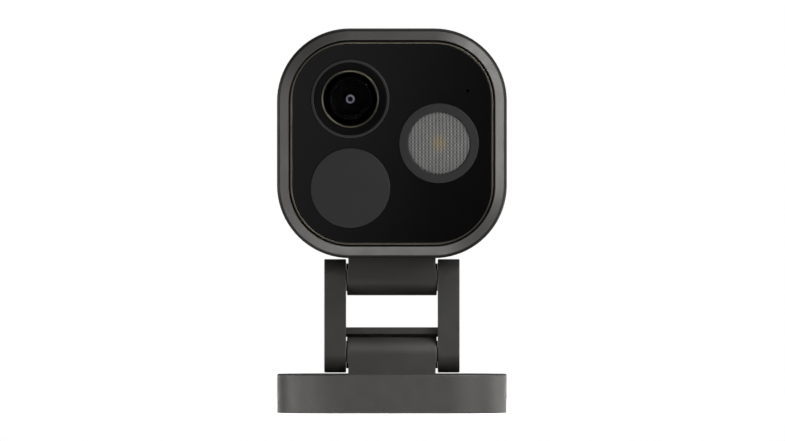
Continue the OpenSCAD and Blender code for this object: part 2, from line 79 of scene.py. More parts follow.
HOUSING_LO, HOUSING_HI = corners("head_housing")
BODY_W = HOUSING_HI[0] - HOUSING_LO[0]
CORNER_R = 27.2
HEAD_MID = (HOUSING_LO[2] + HOUSING_HI[2]) / 2
WALL = 3.0
FRONT = -corners("front_window")[0][1]
HALF_DEPTH = corners("rear_cover")[1][1]
BASE_H = corners("base_shell")[1][2]
JOINTS = {j["name"]: j for j in frame["record"]["behaviour"]["joints"]}
LOWER_AXIS = JOINTS["base_tilt"]["pos_m"][2] / MM
UPPER_AXIS = JOINTS["head_tilt"]["pos_m"][2] / MM


def middle_of(node):
    """A CAD node's middle, across and up from the head's middle."""
    lo, hi = corners(node)
    return (lo[0] + hi[0]) / 2, (lo[2] + hi[2]) / 2 - HEAD_MID


def round_part(node):
    """A round front part: its middle on the head, radius, back and front levels."""
    lo, hi = corners(node)
    return middle_of(node), (hi[0] - lo[0]) / 2, -hi[1], -lo[1]


LENS_AT, LENS_RING_R, LEDGE_BACK, RING_FRONT = round_part("lens_bezel_ring")
PIR_AT, PIR_R, _, PIR_FRONT = round_part("pir_lens")
LAMP_AT, LAMP_RING_R, _, LAMP_RING_FRONT = round_part("lamp_bezel")
_, LAMP_LENS_R, LAMP_LENS_BACK, LAMP_LENS_FRONT = round_part("lamp_lens")
_, GLASS_R, GLASS_BACK, GLASS_FRONT = round_part("lens_cover_glass")
_, HOOD_R, _, HOOD_FRONT = round_part("lens_hood")
_, LENS_TRIM_R, _, LENS_TRIM_FRONT = round_part("lens_trim_ring")
_, IRIS_R, IRIS_BACK, IRIS_FRONT = round_part("lens_iris")
MIC_AT = middle_of("mic_seal")
MIC_R = 0.55

# The head's shell: the bezel's slope and the roll behind it, the window, its trim and its ledge.
BEZEL_W = 4.4
BEZEL_DROP = 1.15
EDGE_R = 2.6
WINDOW_INSET = BODY_W / 2 - corners("front_window")[1][0]
TRIM_INSET = BODY_W / 2 - corners("window_trim")[1][0]
RIM = FRONT - 0.2
WINDOW_BACK = FRONT - 1.8
LEDGE_FRONT = WINDOW_BACK - 1
LEDGE_INSET = 9.5
SLOPE = math.atan(BEZEL_DROP / (BEZEL_W - EDGE_R))
RIM_START = RIM - (BEZEL_W - EDGE_R * (1 - math.sin(SLOPE))) * math.tan(SLOPE)
RIM_END = RIM_START - EDGE_R * math.cos(SLOPE)

# The rear: where the housing ends, and where the cover's flange and spigot end inside.
HOUSING_REAR = -HOUSING_HI[1]
COVER_IN = HOUSING_REAR - 0.8
SPIGOT_IN = COVER_IN + 2
SPIGOT_INSET = 3.3

# Screws, their clearance holes and the corners that they sit in.
SCREW_R = 1.45
CLEAR_R = 1.6
SCREW_AT = BODY_W / 2 - 13
SCREWS_AT = [(sx * SCREW_AT, sy * SCREW_AT) for sx in (-1, 1) for sy in (-1, 1)]
REAR_SEAT = 1.8
# The posts that take the rear screws, from the spigot's end, and the holes in them and in the ledge.
POST_START, POST_END, POST_R = 0.2, 16.2, 4.6
POST_HOLE_R, POST_HOLE_DEEP = 1.5, 12
LEDGE_HOLE_R, LEDGE_HOLE_DOWN, LEDGE_HOLE_UP = 1.0, 0.6, 2.8

# The rear cover's fittings.
GLAND_AT = (0, middle_of("gland_body")[1])
GLAND_R = 6.3
GLAND_END = -HALF_DEPTH - 7
BUTTON_AT = middle_of("reset_button")
BUTTON_R = 3.0
STEM_R = 1.6
SPEAKER_Z = middle_of("speaker")[1]
GROOVES_X = (-25, -15, -5, 5, 15, 25)
GROOVE_W, GROOVE_L, GROOVE_Z, GROOVE_DEEP = 1.6, 22, 19, 1.0
SLOTS_X = (-6, -3, 0, 3, 6)
SLOT_W, SLOT_L = 1.2, 8

# ---- Where local drawings go ----


def spin(angle, axis):
    """A turn about one axis."""
    return Matrix.Rotation(angle, 4, axis)


def in_head(middle=(0, 0)):
    """X to the right and Y up from a place on the head, Z out of the window."""
    return (Matrix.Scale(MM, 4) @ Matrix.Translation((middle[0], 0, HEAD_MID + middle[1]))
            @ spin(math.pi / 2, "X"))


def on_axis(z):
    """X down and Y to the rear of a hinge axis, Z along it to the right."""
    return Matrix.Scale(MM, 4) @ Matrix.Translation((0, 0, z)) @ spin(math.pi / 2, "Y")


UPRIGHT = Matrix.Scale(MM, 4)

# ---- Outlines: rings of points at one level ----


def square_ring(width, radius, z):
    """A square with rounded corners."""
    points = []
    far = width / 2 - radius
    for quarter in range(4):
        turn = Matrix.Rotation(quarter * math.pi / 2, 2)
        for step in range(CORNER_STEPS + 1):
            angle = step * math.pi / 2 / CORNER_STEPS
            x, y = turn @ Vector((far + radius * math.cos(angle), far + radius * math.sin(angle)))
            points.append((x, y, z))
    return points


def body_ring(inset, z):
    """The outline of the head and the base, drawn in by an inset."""
    return square_ring(BODY_W - 2 * inset, CORNER_R - inset, z)


def arc(x, y, radius, angles, z):
    """Points at some angles round (x, y)."""
    return [(x + radius * math.cos(a), y + radius * math.sin(a), z) for a in angles]


def circle_ring(radius, z, middle=(0, 0), sides=SIDES):
    """A circle."""
    return arc(*middle, radius, [step * math.tau / sides for step in range(sides)], z)


def stadium_ring(radius, start, end, z, steps):
    """Two half circles about (start, 0) and (end, 0), joined by straight sides."""
    points = []
    for middle, first in ((end, -math.pi / 2), (start, math.pi / 2)):
        points += arc(middle, 0, radius, [first + step * math.pi / steps for step in range(steps + 1)], z)
    return points


def d_ring(radius, foot, z):
    """A half circle on straight sides; X points to the foot."""
    steps = 28
    points = arc(0, 0, radius, [math.pi / 2 + step * math.pi / steps for step in range(steps + 1)], z)
    return points + [(foot, -radius, z), (foot, radius, z)]


def slot_ring(width, length, z, middle):
    """A slot with round ends, its straight sides running along Y."""
    steps = 10
    points = stadium_ring(width / 2, -length / 2, length / 2, z, steps)
    return [(middle[0] - y, middle[1] + x, z) for x, y, _ in points]


def box_ring(width, depth, radius, z):
    """A rectangle with rounded corners."""
    points = []
    steps = 5
    for sx, sy, first in ((1, 1, 0), (-1, 1, 1), (-1, -1, 2), (1, -1, 3)):
        angles = [(first + step / steps) * math.pi / 2 for step in range(steps + 1)]
        points += arc(sx * (width / 2 - radius), sy * (depth / 2 - radius), radius, angles, z)
    return points


def hex_ring(radius, soft, z):
    """A hexagon with softened corners."""
    corner = [Vector((math.cos(i * math.pi / 3), math.sin(i * math.pi / 3))) * radius for i in range(6)]
    points = []
    for i, here in enumerate(corner):
        start = here.lerp(corner[i - 1], soft / radius)
        end = here.lerp(corner[(i + 1) % 6], soft / radius)
        points += [(p.x, p.y, z) for p in (start, (start + here * 2 + end) / 4, end)]
    return points


def rounded(points, steps=4, closed=True):
    """A path through points given as (across, level, corner radius), each corner turned into an arc."""
    path = []
    count = len(points)
    for i, (x, z, radius) in enumerate(points):
        here = Vector((x, z))
        if radius == 0 or (not closed and i in (0, count - 1)):
            path.append((x, z))
            continue
        back = (Vector(points[i - 1][:2]) - here).normalized()
        ahead = (Vector(points[(i + 1) % count][:2]) - here).normalized()
        half = back.angle(ahead) / 2
        middle = here + (back + ahead).normalized() * radius / math.sin(half)
        first = here + back * radius / math.tan(half) - middle
        last = here + ahead * radius / math.tan(half) - middle
        sweep = first.angle_signed(last)
        for step in range(steps + 1):
            turned = Matrix.Rotation(-sweep * step / steps, 2) @ first
            path.append(tuple(middle + turned))
    return path


# ---- Solids ----


def skin(rings, closed=False):
    """A solid skinned through rings; a ring of one point is a pole, and open ends are capped."""
    bm = bmesh.new()
    rows = [[bm.verts.new(p) for p in ring] for ring in rings]
    count = max(len(row) for row in rows)
    pairs = list(zip(rows, rows[1:]))
    if closed:
        pairs.append((rows[-1], rows[0]))
    for a, b in pairs:
        for i in range(count):
            j = (i + 1) % count
            if len(a) == 1:
                bm.faces.new((a[0], b[j], b[i]))
            elif len(b) == 1:
                bm.faces.new((a[i], a[j], b[0]))
            else:
                bm.faces.new((a[i], a[j], b[j], b[i]))
    if not closed:
        if len(rows[0]) > 1:
            bm.faces.new(rows[0][::-1])
        if len(rows[-1]) > 1:
            bm.faces.new(rows[-1])
    bmesh.ops.recalc_face_normals(bm, faces=bm.faces)
    return bm


def lathe(profile, closed=True, sides=SIDES):
    """A solid turned from a profile of (radius, level)."""
    rings = [[(0, 0, z)] if r == 0 else circle_ring(r, z, sides=sides) for r, z in profile]
    return skin(rings, closed)


def turned(points, sides=SIDES, steps=4, closed=True):
    """A solid turned from a path of (radius, level, corner radius)."""
    return lathe(rounded(points, steps, closed), closed, sides)


def slab(points, closed=False):
    """A solid with the body's outline, from a path of (inset, level, corner radius)."""
    return skin([body_ring(inset, z) for inset, z in rounded(points, closed=closed)], closed)


def rod(radius, start, end, middle=(0, 0), sides=HOLE_SIDES):
    """A plain round solid along Z."""
    return skin([circle_ring(radius, z, middle, sides) for z in (start, end)])


def bar(outline, start, end):
    """A solid along Z with rolled end edges; outline(inset, z) gives its rings."""
    steps = 3
    arc = [i / steps * math.pi / 2 for i in range(steps + 1)]
    low = [outline(EDGE * (1 - math.sin(a)), start + EDGE * (1 - math.cos(a))) for a in arc]
    high = [outline(EDGE * (1 - math.cos(a)), end - EDGE * (1 - math.sin(a))) for a in arc]
    return skin(low + high)


def mesh_of(name, bm):
    """A mesh of a solid, which is used up."""
    mesh = bpy.data.meshes.new(name)
    bm.to_mesh(mesh)
    bm.free()
    return mesh


def shown(name, data):
    """A new object in the scene."""
    obj = bpy.data.objects.new(name, data)
    bpy.context.scene.collection.objects.link(obj)
    return obj


def join(*parts):
    """One mesh with all the parts' shells."""
    whole = bmesh.new()
    for part in parts:
        mesh = mesh_of("part", part)
        whole.from_mesh(mesh)
        bpy.data.meshes.remove(mesh)
    return whole


def moved(bm, place):
    """The same solid, transformed."""
    bm.transform(place)
    return bm


def combine(base, other, operation):
    """The exact union, difference or intersection of two solids."""
    objects = [shown("part", mesh_of("part", part)) for part in (base, other)]
    change = objects[0].modifiers.new("boolean", "BOOLEAN")
    change.operation = operation
    change.solver = "EXACT"
    change.object = objects[1]
    done = objects[0].evaluated_get(bpy.context.evaluated_depsgraph_get())
    result = bmesh.new()
    result.from_mesh(done.to_mesh())
    done.to_mesh_clear()
    for obj in objects:
        mesh = obj.data
        bpy.data.objects.remove(obj)
        bpy.data.meshes.remove(mesh)
    return result


def cut(base, *cutters):
    """A solid without what its cutters cover."""
    return combine(base, join(*cutters), "DIFFERENCE")


def drill(radius, deep, face, chamfer, middle=(0, 0), sides=TINY_SIDES):
    """A cutter for a round hole from the level face inwards, towards -Z, with a chamfered mouth."""
    profile = [(radius, face - deep), (radius, face - chamfer), (radius + chamfer, face),
               (radius + chamfer, face + PAST)]
    return skin([circle_ring(r, z, middle, sides) for r, z in profile])


def piece(name, bm, place, body, slot, material, *nodes):
    """Puts a solid in its place, with soft and sharp edges marked, and lets it ride on a body."""
    same_point, no_length = 1e-4, 1e-5
    bmesh.ops.remove_doubles(bm, verts=bm.verts, dist=same_point)
    bmesh.ops.dissolve_degenerate(bm, edges=bm.edges, dist=no_length)
    bmesh.ops.recalc_face_normals(bm, faces=bm.faces)
    bm.transform(place)
    for face in bm.faces:
        face.smooth = True
    for edge in bm.edges:
        edge.smooth = edge.calc_face_angle(0) < SHARP
    mesh = mesh_of(name, bm)
    mesh.materials.append(material)
    obj = shown(name, mesh)
    normals = obj.modifiers.new("normals", "WEIGHTED_NORMAL")
    normals.keep_sharp = True
    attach(obj, body)
    if nodes:
        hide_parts(*nodes)
    return obj


# ---- Materials ----


def from_middle(s, at):
    """The place as seen from a part's middle on the head's front."""
    shift = (-at[0] * MM, 0, -(HEAD_MID + at[1]) * MM)
    return s.add("ShaderNodeVectorMath", {0: s.place, 1: shift}, operation="ADD").outputs["Vector"]


def off_axis(s, local):
    """The distance from a part's axis, across the head's front."""
    flat = s.add("ShaderNodeVectorMath", {0: local, 1: (1, 0, 1)}, operation="MULTIPLY").outputs["Vector"]
    return s.add("ShaderNodeVectorMath", {0: flat}, operation="LENGTH").outputs["Value"]


class Shader:
    """A material whose nodes are added one by one."""

    def __init__(self, name, metallic=0.0):
        self.mat = bpy.data.materials.new(name)
        self.mat.use_nodes = True
        self.tree = self.mat.node_tree
        self.bsdf = self.tree.nodes["Principled BSDF"]
        self.bsdf.inputs["Metallic"].default_value = metallic
        self.place = self.add("ShaderNodeTexCoord").outputs["Object"]

    def plug(self, value, socket):
        """A link to a node's output, or a fixed value, on a socket."""
        if isinstance(value, bpy.types.NodeSocket):
            self.tree.links.new(value, socket)
        else:
            socket.default_value = value

    def add(self, kind, inputs=None, **settings):
        node = self.tree.nodes.new(kind)
        for key, value in settings.items():
            setattr(node, key, value)
        for key, value in (inputs or {}).items():
            self.plug(value, node.inputs[key])
        return node

    def set(self, **values):
        """Values on the shader's own sockets, named with _ for a space."""
        for key, value in values.items():
            self.plug(value, self.bsdf.inputs[key.replace("_", " ")])

    def noise(self, size, detail=3.0, stretch=None, seed=0.0):
        """Noise whose features are about size metres across."""
        place = self.place
        if stretch:
            place = self.add("ShaderNodeMapping", {"Vector": place, "Scale": stretch}).outputs["Vector"]
        inputs = {"Vector": place, "Scale": 1 / size, "Detail": detail, "W": seed}
        return self.add("ShaderNodeTexNoise", inputs, noise_dimensions="4D").outputs["Fac"]

    def spread(self, value, low, high, start=0.3, end=0.7):
        """Low where the value is at start, high where it is at end."""
        node = self.add("ShaderNodeMapRange", {"Value": value, "From Min": start, "From Max": end,
                                               "To Min": low, "To Max": high})
        return node.outputs["Result"]

    def math(self, operation, a, b=0.0):
        return self.add("ShaderNodeMath", {0: a, 1: b}, operation=operation).outputs["Value"]

    def mix(self, factor, a, b):
        """Colour a where the factor is 0, colour b where it is 1."""
        node = self.add("ShaderNodeMix", data_type="RGBA")
        for socket, value in zip((node.inputs[0], node.inputs[6], node.inputs[7]), (factor, a, b)):
            self.plug(value, socket)
        return node.outputs[2]

    def edges(self, radius, low, high):
        """Near low on flat faces and near high on edges, where a soft normal leans off the face's own."""
        edge_dot, flat_dot = 0.86, 0.995
        soft = self.add("ShaderNodeBevel", {"Radius": radius}, samples=4).outputs["Normal"]
        own = self.add("ShaderNodeNewGeometry").outputs["Normal"]
        dot = self.add("ShaderNodeVectorMath", {0: soft, 1: own}, operation="DOT_PRODUCT").outputs["Value"]
        return self.spread(dot, high, low, edge_dot, flat_dot)

    def bump(self, height, depth):
        return self.add("ShaderNodeBump", {"Height": height, "Distance": depth}).outputs["Normal"]


def tint(colour, amount=1.0):
    """A colour made darker or lighter, with its alpha."""
    return (*[min(1.0, c * amount) for c in colour[:3]], 1.0)


UM = 0.000001
# Width of the wear along an edge, in metres, and how much smoother it is there.
WEAR_W = 0.0004
WEAR_GLOSS = 0.12
# How much of the colour's variation is fine grain; the rest is clouds.
GRAIN_SHARE = 0.45
CLOUDS = 0.012


def surface(name, colour, roughness, swing, grain, bump, patches, metallic=0.0, wear=0.0, worn=None,
            clouds=CLOUDS, stretch=None, painted_shade=None, **values):
    """A finish with grain, bump, cloudy colour and gloss, and a trace of wear on its edges.

    Grain and bump are in micrometres, clouds in metres. Swing and patches are how far roughness and
    colour vary. Painted shade (front, rear, end, amount) darkens the colour between two depths and fades at
    a third."""
    s = Shader(name, metallic)
    fine = s.noise(grain * UM, 4.0, stretch)
    cloud = s.noise(clouds, 4.0, None, 3.0)
    blend = s.math("ADD", s.math("MULTIPLY", fine, GRAIN_SHARE), s.math("MULTIPLY", cloud, 1 - GRAIN_SHARE))
    varied = s.spread(blend, 0.0, 1.0, 0.36, 0.64)
    shade = s.mix(varied, tint(colour, 1 - patches), tint(colour, 1 + patches))
    rough = s.spread(s.noise(clouds * 0.4, 5.0, stretch, 7.0), roughness - swing, roughness + swing)
    if wear:
        rubbed = s.math("MULTIPLY", s.edges(WEAR_W, 0.0, wear), s.spread(cloud, 0.5, 1.0))
        shade = s.mix(rubbed, shade, tint(worn))
        rough = s.math("SUBTRACT", rough, s.math("MULTIPLY", rubbed, WEAR_GLOSS))
    # Painted shade: the colour is darkened between two depths, which is used on the head's rolled edge.
    if painted_shade:
        front, rear, end, amount = painted_shade
        depth_in = s.add("ShaderNodeSeparateXYZ", {0: s.place}).outputs["Y"]
        inside = s.math("MULTIPLY", s.spread(depth_in, 0.0, 1.0, front, front + 100 * UM),
                        s.spread(depth_in, 1.0, 0.0, rear, end))
        shade = s.mix(inside, shade, tint(colour, amount))
    s.set(Base_Color=shade, Roughness=rough, Normal=s.bump(fine, bump * UM), **values)
    return s.mat


def anodised(name, colour, roughness, grain, bump, patches, worn, painted_shade=None):
    """Satin anodised metal, between sheen and diffuse, without a coat's reflection."""
    return surface(name, colour, roughness, 0.05, grain, bump, patches, 0.65, 0.28, worn, painted_shade=painted_shade,
                   Specular_IOR_Level=0.0)


def turned_metal(name, colour, middle, roughness):
    """Metal with fine lathe lines round an axis on the head's front."""
    lines_per_metre = 14000.0
    s = Shader(name, 1.0)
    radius = off_axis(s, from_middle(s, middle))
    lines = s.add("ShaderNodeTexNoise", {"W": s.math("MULTIPLY", radius, lines_per_metre), "Detail": 2.0},
                  noise_dimensions="1D").outputs["Fac"]
    cloud = s.noise(0.004, 3.0)
    shade = s.mix(s.spread(cloud, 0.0, 1.0), tint(colour, 0.88), tint(colour, 1.12))
    rough = s.spread(lines, roughness - 0.06, roughness + 0.06)
    s.set(Base_Color=shade, Roughness=rough, Normal=s.bump(lines, 6 * UM))
    return s.mat


def window_gloss():
    """Black back-painted window: gloss, faint waviness and the least dust."""
    black, dusty = (0.0005, 0.0005, 0.0005, 1), (0.0022, 0.0022, 0.0021, 1)
    s = Shader("window_gloss")
    dust = s.noise(0.00035, 3.0, None, 2.0)
    haze = s.noise(0.02, 4.0, None, 5.0)
    shade = s.mix(s.spread(dust, 0.0, 1.0, 0.62, 0.8), black, dusty)
    s.set(Base_Color=shade, Roughness=s.spread(haze, 0.19, 0.23), Specular_IOR_Level=0.3,
          Normal=s.bump(s.noise(0.006, 2.0, None, 9.0), 4 * UM))
    return s.mat


def clear_glass(name, film, low, high, rough, ior, ripple, depth):
    """Glass with a faint film between two colours.

    Film and ripple are sizes in metres, and the ripple's depth is in micrometres."""
    s = Shader(name)
    film = s.noise(film, 3.0)
    shade = s.mix(s.spread(film, 0.0, 1.0), low, high)
    s.set(Base_Color=shade, Roughness=s.spread(film, *rough), Transmission_Weight=1.0, IOR=ior,
          Normal=s.bump(s.noise(ripple, 2.0), depth * UM))
    return s.mat


# How brightly the iris's painted highlight glows.
IRIS_PAINTED_GLOW = 0.13
# The painted highlight on the iris's bevel ends between these radii, in metres.
PAINTED_RING_EDGE = (0.00148, 0.00162)


def iris_with_painted_highlight():
    """Flat black iris with a painted highlight: its bevel round the opening is painted violet-white and
    glows, brightest at the upper right and lower left.
    """
    s = Shader("iris_with_painted_highlight")
    local = from_middle(s, LENS_AT)
    radius = off_axis(s, local)
    inside = s.spread(radius, 1.0, 0.0, *PAINTED_RING_EDGE)
    cloud = s.spread(s.noise(0.0008, 3.0), 0.0, 1.0)
    painted_ring_colour = s.mix(cloud, (0.74, 0.71, 0.82, 1), (0.86, 0.84, 0.92, 1))
    # Painted highlight: the ring glows, brightest at the upper right and lower left.
    axes = s.add("ShaderNodeSeparateXYZ", {0: local})
    corner = s.math("MULTIPLY", axes.outputs["X"], axes.outputs["Z"])
    painted_glint = s.math("MULTIPLY", inside, s.spread(corner, 0.25, 1.0, -0.9 * UM, 0.9 * UM))
    shade = s.mix(inside, (0.0016, 0.0016, 0.002, 1), painted_ring_colour)
    s.set(Base_Color=shade, Roughness=s.spread(inside, 0.6, 0.3, 0.0, 1.0), Specular_IOR_Level=0.06,
          Emission_Color=painted_ring_colour, Emission_Strength=s.math("MULTIPLY", painted_glint, IRIS_PAINTED_GLOW),
          Normal=s.bump(s.noise(0.0002), 4 * UM))
    return s.mat


# The lamp's small lenses: their pitch in millimetres, where a row starts, and how deep its dimples are.
LENSLET_PITCH = 1.308
LENSLET_TURN = 0.58
LENSLET_DOTS = 0.55
# The LED's glow fades out between these radii, in metres.
GLOW = (0.0008, 0.0040)


def lamp_plastic():
    """Clear moulded plate of lenslets over a bright optic, amber where the LED shows through, with painted
    shade in the dimples between the lenslets.
    """
    s = Shader("lamp_plastic")
    local = from_middle(s, LAMP_AT)
    axes = s.add("ShaderNodeSeparateXYZ", {0: local})
    turns = [s.math("MULTIPLY", axes.outputs[axis], math.tau / (LENSLET_PITCH * MM)) for axis in ("X", "Z")]
    # Painted shade: near black in the dimples between the lenslets, along their columns and rows.
    dots = s.math("COSINE", s.math("ADD", turns[1], LENSLET_TURN))
    rows = s.math("SUBTRACT", s.math("MULTIPLY", dots, LENSLET_DOTS), 1 - LENSLET_DOTS)
    painted_pit_shade = s.spread(s.math("MULTIPLY", s.math("COSINE", turns[0]), rows), 1.0, 0.0, -1.0, 1.0)
    radius = off_axis(s, local)
    glow = s.spread(radius, 1.0, 0.0, *GLOW)
    cloud = s.spread(s.noise(0.003, 3.0), 0.0, 1.0)
    plate = s.mix(cloud, (0.23, 0.23, 0.225, 1), (0.27, 0.27, 0.265, 1))
    warm = s.mix(s.math("MULTIPLY", glow, 0.75), plate, (0.42, 0.32, 0.14, 1))
    shade = s.mix(painted_pit_shade, warm, (0.02, 0.02, 0.02, 1))
    s.set(Base_Color=shade, Roughness=s.spread(s.noise(0.0006, 3.0), 0.26, 0.38), Transmission_Weight=0.25,
          IOR=1.49, Normal=s.bump(s.noise(0.00025, 3.0), 4 * UM))
    return s.mat


GRAPHITE = (0.105, 0.102, 0.098)
GRAPHITE_WORN = (0.22, 0.215, 0.205)
# Painted shade on the head's rolled edge: the colour is darker from the bezel's slope to the roll's end,
# fading out behind it.
PAINTED_SHADE_ROLL = (-RIM_START * MM, -RIM_END * MM, (4 - RIM_END) * MM, 0.3)


def outer_finishes():
    """Finishes of what the photo shows, and of the screws."""
    return {
        "graphite": anodised("graphite", GRAPHITE, 0.5, 220, 12, 0.07, GRAPHITE_WORN),
        "graphite_head": anodised("graphite_head", GRAPHITE, 0.5, 220, 12, 0.07, GRAPHITE_WORN, PAINTED_SHADE_ROLL),
        "graphite_rear": anodised("graphite_rear", tint(GRAPHITE, 0.9), 0.54, 260, 14, 0.08,
                                  (0.2, 0.195, 0.185)),
        "window": window_gloss(),
        "trim": surface("dark_bronze", (0.15, 0.135, 0.105), 0.36, 0.04, 150, 4, 0.1, 1.0, 0.2,
                        (0.22, 0.19, 0.14), clouds=0.006),
        "lens_trim": turned_metal("turned_bronze", (0.17, 0.155, 0.12), LENS_AT, 0.3),
        "grey": surface("ring_grey", (0.0185, 0.0185, 0.019), 0.62, 0.06, 160, 14, 0.08, 0.0, 0.2,
                        (0.03, 0.03, 0.031), Specular_IOR_Level=0.2),
        "black": surface("moulded_black", (0.008, 0.008, 0.0085), 0.58, 0.07, 180, 16, 0.12, 0.0, 0.2,
                         (0.02, 0.02, 0.02), Specular_IOR_Level=0.35),
        "hood": surface("hood_black", (0.0022, 0.0022, 0.0022), 0.6, 0.07, 180, 16, 0.2, 0.0, 0.2,
                        (0.006, 0.006, 0.006), Specular_IOR_Level=0.06),
        # Violet glass behind the cover, nearly without a reflection.
        "element": clear_glass("tinted_glass", 0.0008, (0.76, 0.75, 0.79, 1), (0.82, 0.81, 0.84, 1),
                               (0.02, 0.05), 1.04, 0.0006, 0.5),
        "gland": surface("nylon_black", (0.018, 0.018, 0.018), 0.45, 0.08, 300, 20, 0.15, 0.0, 0.3,
                         (0.05, 0.05, 0.05)),
        "rubber": surface("seal_rubber", (0.014, 0.014, 0.014), 0.8, 0.08, 250, 30, 0.2, 0.0, 0.15,
                          (0.03, 0.03, 0.03), Specular_IOR_Level=0.3),
        "button": surface("button_rubber", (0.075, 0.075, 0.074), 0.7, 0.08, 200, 20, 0.12, 0.0, 0.3,
                          (0.14, 0.14, 0.14)),
        "oxide": surface("black_oxide", (0.06, 0.058, 0.055), 0.38, 0.08, 180, 12, 0.15, 1.0, 0.5,
                         (0.25, 0.245, 0.24), clouds=0.003),
        # Coated dome glass: hardly any reflection, a breath of violet.
        "glass": clear_glass("cover_glass", 0.004, (0.84, 0.83, 0.87, 1), (0.89, 0.89, 0.91, 1),
                             (0.015, 0.04), 1.07, 0.003, 1),
        "iris": iris_with_painted_highlight(),
        "lamp": lamp_plastic(),
    }


def inner_finishes():
    """Finishes of what lies inside."""
    return {
        "zinc": surface("zinc_plate", (0.52, 0.52, 0.50), 0.36, 0.1, 600, 12, 0.14, 1.0, 0.3,
                        (0.7, 0.7, 0.69), clouds=0.007),
        "chrome": surface("reflector_chrome", (0.86, 0.86, 0.85), 0.12, 0.04, 800, 4, 0.05, 1.0),
        "phosphor": surface("led_phosphor", (0.85, 0.58, 0.10), 0.3, 0.08, 80, 6, 0.12, clouds=0.0006),
        "board": surface("green_mask", (0.012, 0.10, 0.05), 0.34, 0.06, 1200, 20, 0.18, clouds=0.005),
        "white_board": surface("white_mask", (0.78, 0.78, 0.75), 0.36, 0.06, 800, 10, 0.05),
        "aluminium": surface("bare_aluminium", (0.72, 0.72, 0.72), 0.34, 0.08, 250, 14, 0.1, 1.0, 0.3,
                             (0.9, 0.9, 0.9), stretch=(1, 8, 1)),
        "nickel": surface("nickel_plate", (0.60, 0.58, 0.55), 0.3, 0.07, 300, 8, 0.1, 1.0, 0.3,
                          (0.8, 0.78, 0.74)),
        "brass": surface("plain_brass", (0.62, 0.47, 0.20), 0.32, 0.08, 300, 10, 0.12, 1.0, 0.3,
                         (0.8, 0.64, 0.3)),
        "silicon": surface("sensor_glass", (0.012, 0.015, 0.024), 0.3, 0.05, 400, 2, 0.3),
        "pad": surface("thermal_pad", (0.22, 0.30, 0.38), 0.7, 0.06, 500, 20, 0.12),
        "potting": surface("potting_resin", (0.055, 0.036, 0.02), 0.42, 0.1, 1500, 50, 0.25),
        "terminal": surface("green_nylon", (0.03, 0.17, 0.06), 0.5, 0.06, 400, 20, 0.1),
        "cloth": surface("acoustic_cloth", (0.02, 0.02, 0.02), 0.85, 0.08, 120, 50, 0.4),
        "white": surface("white_nylon", (0.62, 0.62, 0.60), 0.45, 0.06, 400, 10, 0.06),
    }


# The CAD nodes that keep their mesh, by finish.
FINISH = {
    "zinc": "wall_plate lower_knuckle_screws upper_knuckle_screws chassis_screws "
            "board_screws lower_hinge_pin upper_hinge_pin",
    "oxide": "friction_washers",
    "rubber": "base_gasket rear_gasket window_gasket mic_seal",
    "black": "front_chassis speaker",
    "hood": "lens_barrel microphone",
    "gland": "gland_locknut",
    "element": "lens_element",
    "chrome": "lamp_reflector",
    "phosphor": "led_emitter",
    "board": "sensor_board main_board wifi_antenna",
    "white_board": "led_board",
    "aluminium": "lamp_heat_sink",
    "nickel": "pir_sensor shield_can",
    "brass": "board_standoffs",
    "silicon": "image_sensor",
    "pad": "thermal_pad",
    "potting": "power_converter",
    "terminal": "terminal_block",
    "cloth": "acoustic_mesh",
    "white": "reset_switch",
}


def finish_cad(m):
    """Procedural finishes for the CAD nodes that keep their mesh."""
    for key, nodes in FINISH.items():
        for node in nodes.split():
            for slot in frame["nodes"][node].material_slots:
                slot.material = m[key]


# ---- Base ----

BASE_TOP_T = 4
# How far a shell's hidden end faces reach in from its outline.
HIDDEN = 20
FOOT_HOLE_X = 10
# The notch for the wall plate's hook: width, depth, how far in, lowest and highest level.
NOTCH_W, NOTCH_D, NOTCH_IN, NOTCH_LOW, NOTCH_HIGH = 20.4, 3.4, 0.6, 0.9, 2.6


def foot_holes(start, end):
    """Cutters for the two screws that hold a knuckle's foot."""
    return [rod(CLEAR_R, start, end, (side * FOOT_HOLE_X, 0)) for side in (-1, 1)]


def base_shell(m):
    under = BASE_H - BASE_TOP_T
    shell = slab([(WALL + HIDDEN, under, 0), (WALL, under, 0.6), (WALL, 0, 0.25), (0, 0, 0.35),
                  (0, BASE_H, 0.32), (HIDDEN, BASE_H, 0)])
    screw_lo, screw_hi = corners("base_lock_screw")
    level = (screw_lo[2] + screw_hi[2]) / 2
    rear = Matrix.Translation((0, BODY_W / 2, level)) @ spin(-math.pi / 2, "X")
    hole = moved(drill(CLEAR_R, WALL + PAST, 0, 0.35), rear)
    plate_lo, _ = corners("wall_plate")
    notch = skin([box_ring(NOTCH_W, NOTCH_D, 0.1, z) for z in (NOTCH_LOW, NOTCH_HIGH)])
    notch = moved(notch, Matrix.Translation((0, plate_lo[1] + NOTCH_IN, 0)))
    shell = cut(shell, hole, notch, *foot_holes(under - PAST, BASE_H + PAST))
    piece("base_shell_skin", shell, UPRIGHT, "base", "anodised_graphite", m["graphite"], "base_shell")


def lock_screw(m):
    lo, hi = corners("base_lock_screw")
    radius, length = (hi[0] - lo[0]) / 2, hi[1] - lo[1]
    key_r, key_deep = 0.85, 2
    shank = turned([(0, 0, 0), (radius, 0, 0.25), (radius, length, 0.2), (0, length, 0)], TINY_SIDES,
                   closed=False)
    socket = skin([hex_ring(key_r, 0.1, z) for z in (length - key_deep, length + PAST)])
    middle = Matrix.Translation((0, lo[1], (lo[2] + hi[2]) / 2))
    place = UPRIGHT @ middle @ spin(-math.pi / 2, "X")
    piece("lock_screw_skin", cut(shank, socket), place, "base", "black_steel", m["oxide"], "base_lock_screw")


# ---- Knuckles and link ----

